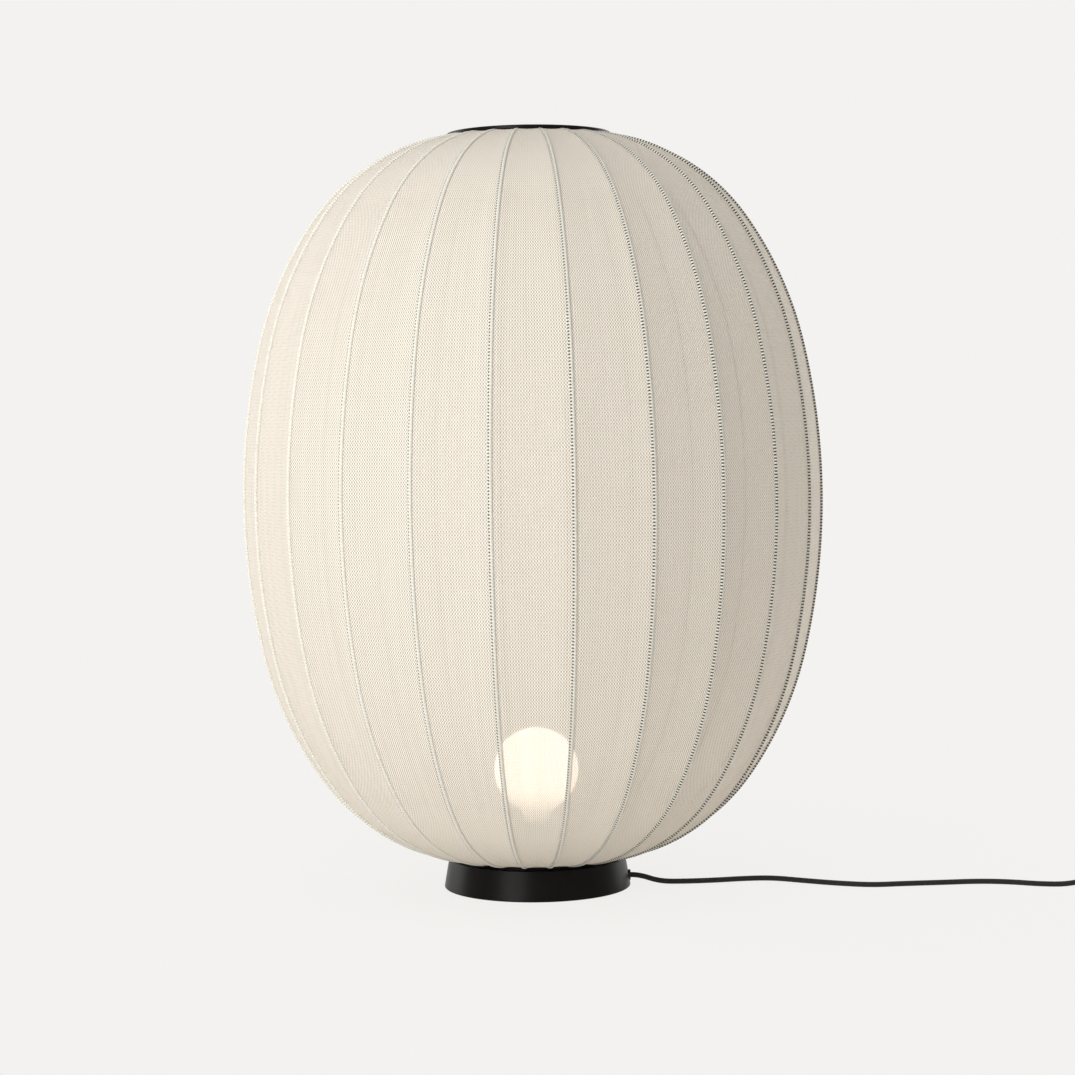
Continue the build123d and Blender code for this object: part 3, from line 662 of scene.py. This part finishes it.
def knitted_yarn():
    """Open knit of matt yarn: staggered stitches with painted shade in the hollows between them, and
    eyelets that pass light.
    """
    material, tree = new_material("knitted_polyester")
    uv = add_node(tree, "ShaderNodeTexCoord").outputs["UV"]
    stitch = add_node(tree, "ShaderNodeSeparateXYZ", {0: uv})
    waves = []
    for coordinate in (stitch.outputs[0], stitch.outputs[1]):
        phase = add_node(tree, "ShaderNodeMath", {0: coordinate, 1: math.tau}, operation="MULTIPLY")
        waves.append(add_node(tree, "ShaderNodeMath", {0: phase.outputs[0]}, operation="COSINE"))
    rows = add_node(tree, "ShaderNodeMath", {0: waves[1].outputs[0], 1: wale_share}, operation="ADD")
    relief = add_node(
        tree, "ShaderNodeMath", {0: waves[0].outputs[0], 1: rows.outputs[0]}, operation="MULTIPLY"
    )
    height = add_node(
        tree,
        "ShaderNodeMapRange",
        {"Value": relief.outputs[0], "From Min": -1.0 - wale_share, "From Max": 1.0 + wale_share},
    )
    streak = add_node(tree, "ShaderNodeMapping", {"Vector": uv, "Scale": tension_scale})
    tension = add_node(
        tree, "ShaderNodeTexNoise", {"Vector": streak.outputs[0], "Scale": 1.0, "Detail": 4.0}
    )
    opened = add_node(
        tree,
        "ShaderNodeMapRange",
        {
            "Value": tension.outputs[0],
            "From Min": 0.3,
            "From Max": 0.7,
            "To Min": -tension_drift,
            "To Max": tension_drift,
        },
    )
    place = add_node(tree, "ShaderNodeTexCoord").outputs["Object"]
    sideways = add_node(
        tree, "ShaderNodeVectorMath", {0: place, 1: (1.0, 1.0, 0.0)}, operation="MULTIPLY"
    )
    girth = add_node(tree, "ShaderNodeVectorMath", {0: sideways.outputs[0]}, operation="LENGTH")
    slack = add_node(
        tree,
        "ShaderNodeMapRange",
        {
            "Value": girth.outputs["Value"],
            "From Min": closed_radius,
            "From Max": open_radius,
            "To Min": slack_close,
            "To Max": 0.0,
        },
    )
    cover = height
    for closing in (opened, slack):
        cover = add_node(
            tree, "ShaderNodeMath", {0: cover.outputs[0], 1: closing.outputs[0]}, operation="ADD"
        )
    yarn = add_node(
        tree,
        "ShaderNodeMapRange",
        {
            "Value": cover.outputs[0],
            "From Min": eyelet_height,
            "From Max": yarn_height,
            "To Min": eyelet_fill,
            "To Max": 1.0,
        },
        interpolation_type="SMOOTHSTEP",
    )
    # The yarn is drawn darker where the stitch relief is low: painted shade in the hollows between
    # stitches.
    colour = add_node(
        tree,
        "ShaderNodeMix",
        {"Factor": height.outputs[0], 6: linear("B7B0A2"), 7: linear("FFF9F0")},
        data_type="RGBA",
    )
    bump = add_node(
        tree, "ShaderNodeBump", {"Strength": 0.7, "Distance": stitch_height, "Height": height.outputs[0]}
    )
    front = add_node(
        tree,
        "ShaderNodeBsdfPrincipled",
        {
            "Base Color": colour.outputs[2],
            "Roughness": 0.85,
            "Specular IOR Level": 0.15,
            "Sheen Weight": 0.1,
            "Normal": bump.outputs[0],
        },
    )
    through = add_node(tree, "ShaderNodeBsdfTranslucent", {"Color": colour.outputs[2]})
    cloth = add_node(
        tree, "ShaderNodeMixShader", {0: shine_through, 1: front.outputs[0], 2: through.outputs[0]}
    )
    gap = add_node(tree, "ShaderNodeBsdfTransparent")
    knit = add_node(
        tree, "ShaderNodeMixShader", {0: yarn.outputs[0], 1: gap.outputs[0], 2: cloth.outputs[0]}
    )
    add_node(tree, "ShaderNodeOutputMaterial", {"Surface": knit.outputs[0]})
    return material


cover_mesh = bmesh.new()
widest = cover_mesh.verts.new((shade_radius - rib_line_depth, 0.0, 0.0))
spin_outline(cover_mesh, [widest])
bmesh.ops.spin(
    cover_mesh,
    geom=cover_mesh.verts[:] + cover_mesh.edges[:],
    cent=(0.0, 0.0, 0.0),
    axis=(0.0, 0.0, 1.0),
    angle=math.tau,
    steps=rib_count * columns_per_gore,
    use_merge=True,
)
bmesh.ops.remove_doubles(cover_mesh, verts=cover_mesh.verts[:], dist=merge_distance)
stitches = cover_mesh.loops.layers.uv.new("UVMap")
for face in cover_mesh.faces:
    middle = face.calc_center_median()
    middle_turn = math.atan2(middle.y, middle.x)
    for loop in face.loops:
        place = loop.vert.co
        turn = math.atan2(place.y, place.x)
        turn += math.tau * round((middle_turn - turn) / math.tau)
        walked, _ = along_outline(math.hypot(place.x, place.y), place.z)
        loop[stitches].uv = (turn / gore_angle * wales_per_gore, walked / course_pitch)
for vertex in cover_mesh.verts:
    radius = math.hypot(vertex.co.x, vertex.co.y)
    across = gore_place(vertex)
    walked, facing = along_outline(radius, vertex.co.z)
    near_hem = hem_nearness(walked)
    bow = 1 - 4 * across * across
    groove = groove_depth * max(0.0, 1 - (0.5 - abs(across)) / groove_reach)
    out = hem_lift * near_hem - (middle_draw + (hem_draw - middle_draw) * near_hem) * bow
    out -= groove
    chord = math.cos(gore_angle / 2) / math.cos(across * gore_angle)
    flat = chord + (1 - chord) * near_hem
    vertex.co.xy *= flat + out * facing.x / radius
    vertex.co.z += shade_middle + out * facing.y
knitted_cover = new_piece("knitted_shade", cover_mesh, knitted_yarn())
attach(knitted_cover, "shade")
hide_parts("knitted_cover_front", "knitted_cover_back")


# Rib channels: a narrow tunnel knitted into the cover over each rod, close and tight, with a row
# of needle holes down one side, painted dark as the shade inside them.
channel_radius = 0.0024
channel_rise = 0.0019
channel_sides = 10
bead_pitch = 0.0034
bead_height = 0.0005
hem_sink = 0.0006
hem_pinch = 0.1
# Where across the channel and along each bead the needle holes get painted shade.
hole_shade_side = (-0.12, -0.42)
hole_shade_range = (-0.3, 0.6)


def channel_knit():
    """Close knit over a rod: fine ridges across it, and small needle holes at one side painted dark as
    shade.
    """
    material, tree = new_material("channel_knit")
    uv = add_node(tree, "ShaderNodeTexCoord").outputs["UV"]
    place = add_node(tree, "ShaderNodeSeparateXYZ", {0: uv})
    phase = add_node(tree, "ShaderNodeMath", {0: place.outputs[1], 1: math.tau}, operation="MULTIPLY")
    bead = add_node(tree, "ShaderNodeMath", {0: phase.outputs[0]}, operation="SINE")
    side = add_node(
        tree,
        "ShaderNodeMapRange",
        {"Value": place.outputs[0], "From Min": hole_shade_side[0], "From Max": hole_shade_side[1]},
        interpolation_type="SMOOTHSTEP",
    )
    hole = add_node(
        tree,
        "ShaderNodeMapRange",
        {"Value": bead.outputs[0], "From Min": hole_shade_range[0], "From Max": hole_shade_range[1]},
    )
    # Painted shade: the needle holes on one side are drawn near-black, as the shade inside them.
    painted_hole_shade = add_node(
        tree, "ShaderNodeMath", {0: side.outputs[0], 1: hole.outputs[0]}, operation="MULTIPLY"
    )
    colour = add_node(
        tree,
        "ShaderNodeMix",
        {"Factor": painted_hole_shade.outputs[0], 6: linear("DEDBD1"), 7: linear("2E2C29")},
        data_type="RGBA",
    )
    bump = add_node(
        tree, "ShaderNodeBump", {"Strength": 0.6, "Distance": bead_height, "Height": bead.outputs[0]}
    )
    shader = add_node(
        tree,
        "ShaderNodeBsdfPrincipled",
        {
            "Base Color": colour.outputs[2],
            "Roughness": 0.85,
            "Specular IOR Level": 0.15,
            "Normal": bump.outputs[0],
        },
    )
    add_node(tree, "ShaderNodeOutputMaterial", {"Surface": shader.outputs[0]})
    return material


channel_mesh = bmesh.new()
flattened = Matrix.Diagonal((channel_rise / channel_radius, 1.0, 1.0, 1.0))
bmesh.ops.create_circle(
    channel_mesh,
    segments=channel_sides,
    radius=channel_radius,
    matrix=Matrix.Translation((shade_radius - rib_line_depth, 0.0, 0.0)) @ flattened,
)
spin_outline(channel_mesh, channel_mesh.verts[:] + channel_mesh.edges[:])
for vertex in channel_mesh.verts:
    walked, facing = along_outline(vertex.co.x, vertex.co.z)
    near_hem = hem_nearness(walked)
    vertex.co.y *= 1 - hem_pinch * near_hem
    vertex.co.z -= hem_sink * near_hem * facing.y
    vertex.co.x -= hem_sink * near_hem * facing.x
beads = channel_mesh.loops.layers.uv.new("UVMap")
for face in channel_mesh.faces:
    for loop in face.loops:
        place = loop.vert.co
        walked, _ = along_outline(place.x, place.z)
        loop[beads].uv = (place.y / channel_radius, walked / bead_pitch)
bmesh.ops.holes_fill(channel_mesh, edges=channel_mesh.edges[:], sides=channel_sides)
bmesh.ops.rotate(
    channel_mesh, verts=channel_mesh.verts[:], matrix=Matrix.Rotation(gore_angle / 2, 3, "Z")
)
bmesh.ops.spin(
    channel_mesh,
    geom=channel_mesh.verts[:] + channel_mesh.edges[:] + channel_mesh.faces[:],
    cent=(0.0, 0.0, 0.0),
    axis=(0.0, 0.0, 1.0),
    angle=math.tau - gore_angle,
    steps=rib_count - 1,
    use_duplicate=True,
)
bmesh.ops.translate(channel_mesh, verts=channel_mesh.verts[:], vec=(0.0, 0.0, shade_middle))
rib_channels = new_piece("rib_channels", channel_mesh, channel_knit())
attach(rib_channels, "shade")


# Foot switch: a round two-part case of black ABS on rubber strain reliefs, with a button over a
# spring. The base's own bushing is of the same rubber, and its cord clamp is nylon.
dress(["switch_lower", "switch_upper"], moulded("spark_textured_abs", "101010", "1A1A1A", 0.42, 0.0005))
dress(["switch_button"], moulded("polished_abs", "0E0E0E", "141414", 0.25, 0.002))
dress(["switch_spring"], plated_steel("spring_steel", "A9A8A5", 0.28))
dress(["switch_bushings", "cord_bushing"], moulded("moulded_rubber", "0C0C0C", "151515", 0.62, 0.0008))
dress(["cord_clamp"], moulded("nylon_moulding", "D8D5CB", "E4E1D8", 0.5, 0.0006))


# Plug and tie: a flat two-pin plug moulded onto the cord, nickel plated pins and a thin black
# nylon tie round the coil.
dress(["plug_body"], moulded("moulded_pvc", "0F0F0F", "181818", 0.48, 0.0006))
dress(["plug_pins"], plated_steel("nickel_plated_pin", "CFCBC2", 0.2))
dress(["coil_tie"], moulded("nylon_tie", "121212", "1C1C1C", 0.45, 0.0006))


# Studio: a pale floor and backdrop of one colour, two large soft lamps to the left, a weaker one
# behind to the right and one above, and the warm light that the bulb throws on the cover.
backdrop = linear("F3F2F0")
ambient_colour = linear("F6F4F1")
ambient_strength = 0.51
floor_size = 30.0
shadow_near, shadow_far = 0.15, 0.9
shadow_depth = 0.08
lamp_size, top_lamp_size = 1.6, 1.4
shade_aim = (0.0, 0.0, 0.45)
top_aim = (0.0, 0.0, 0.8)
bulb_light = linear("FFBE76")
bulb_power = 1.5
bulb_clearance = 0.001


def looked_at(tree):
    """1 for what the camera sees, also in gloss or through glass, and 0 for light on the lamp."""
    rays = add_node(tree, "ShaderNodeLightPath")
    straight = add_node(
        tree,
        "ShaderNodeMath",
        {0: rays.outputs["Is Camera Ray"], 1: rays.outputs["Is Glossy Ray"]},
        operation="MAXIMUM",
    )
    either = add_node(
        tree,
        "ShaderNodeMath",
        {0: straight.outputs[0], 1: rays.outputs["Is Transmission Ray"]},
        operation="MAXIMUM",
    )
    return either.outputs[0]


def studio_floor():
    """A floor of the backdrop's plain colour that keeps a faint shadow round the lamp."""
    material, tree = new_material("studio_floor")
    place = add_node(tree, "ShaderNodeTexCoord").outputs["Object"]
    distance = add_node(tree, "ShaderNodeVectorMath", {0: place}, operation="LENGTH")
    shadow = add_node(
        tree,
        "ShaderNodeMapRange",
        {
            "Value": distance.outputs["Value"],
            "From Min": shadow_near,
            "From Max": shadow_far,
            "To Min": shadow_depth,
            "To Max": 0.0,
        },
    )
    unshadowed = add_node(tree, "ShaderNodeMath", {0: 1.0, 1: shadow.outputs[0]}, operation="SUBTRACT")
    plain_share = add_node(
        tree, "ShaderNodeMath", {0: unshadowed.outputs[0], 1: looked_at(tree)}, operation="MULTIPLY"
    )
    lit = add_node(tree, "ShaderNodeBsdfDiffuse", {"Color": backdrop})
    plain = add_node(tree, "ShaderNodeEmission", {"Color": backdrop, "Strength": 1.0})
    surface = add_node(
        tree, "ShaderNodeMixShader", {0: plain_share.outputs[0], 1: lit.outputs[0], 2: plain.outputs[0]}
    )
    add_node(tree, "ShaderNodeOutputMaterial", {"Surface": surface.outputs[0]})
    return material


def soft_lamp(name, place, target, size, power):
    """A square soft box aimed at a point."""
    lamp_data = bpy.data.lights.new(name, "AREA")
    lamp_data.size = size
    lamp_data.energy = power
    lamp = bpy.data.objects.new(name, lamp_data)
    lamp.location = place
    lamp.rotation_euler = (Vector(target) - Vector(place)).to_track_quat("-Z", "Y").to_euler()
    lamp.visible_camera = False
    bpy.context.scene.collection.objects.link(lamp)


floor_mesh = bmesh.new()
bmesh.ops.create_grid(floor_mesh, x_segments=1, y_segments=1, size=floor_size)
floor = new_piece("studio_floor", floor_mesh, studio_floor())

world = bpy.data.worlds.new("studio")
bpy.context.scene.world = world
world.use_nodes = True
air = world.node_tree
air.nodes.clear()
ambient = add_node(air, "ShaderNodeBackground", {"Color": ambient_colour, "Strength": ambient_strength})
seen = add_node(air, "ShaderNodeBackground", {"Color": backdrop, "Strength": 1.0})
surround = add_node(
    air, "ShaderNodeMixShader", {0: looked_at(air), 1: ambient.outputs[0], 2: seen.outputs[0]}
)
add_node(air, "ShaderNodeOutputWorld", {"Surface": surround.outputs[0]})

soft_lamp("key_lamp", (-1.5, -2.55, 1.0), shade_aim, lamp_size, 55.0)
soft_lamp("side_lamp", (-2.46, 1.42, 0.8), shade_aim, lamp_size, 33.5)
soft_lamp("rim_lamp", (2.1, 2.0, 0.8), shade_aim, lamp_size, 30.0)
soft_lamp("top_lamp", (-0.5, -0.9, 2.7), top_aim, top_lamp_size, 15.0)

globe_radius = (globe_high.x - globe_low.x) / 2
glow_data = bpy.data.lights.new("bulb_glow", "POINT")
glow_data.color = bulb_light[:3]
glow_data.energy = bulb_power
glow_data.shadow_soft_size = globe_radius + bulb_clearance
glow = bpy.data.objects.new("bulb_glow", glow_data)
glow.location = (0.0, 0.0, globe_high.z - globe_radius)
glow.visible_camera = False
bpy.context.scene.collection.objects.link(glow)

bpy.context.scene.view_settings.view_transform = "Standard"
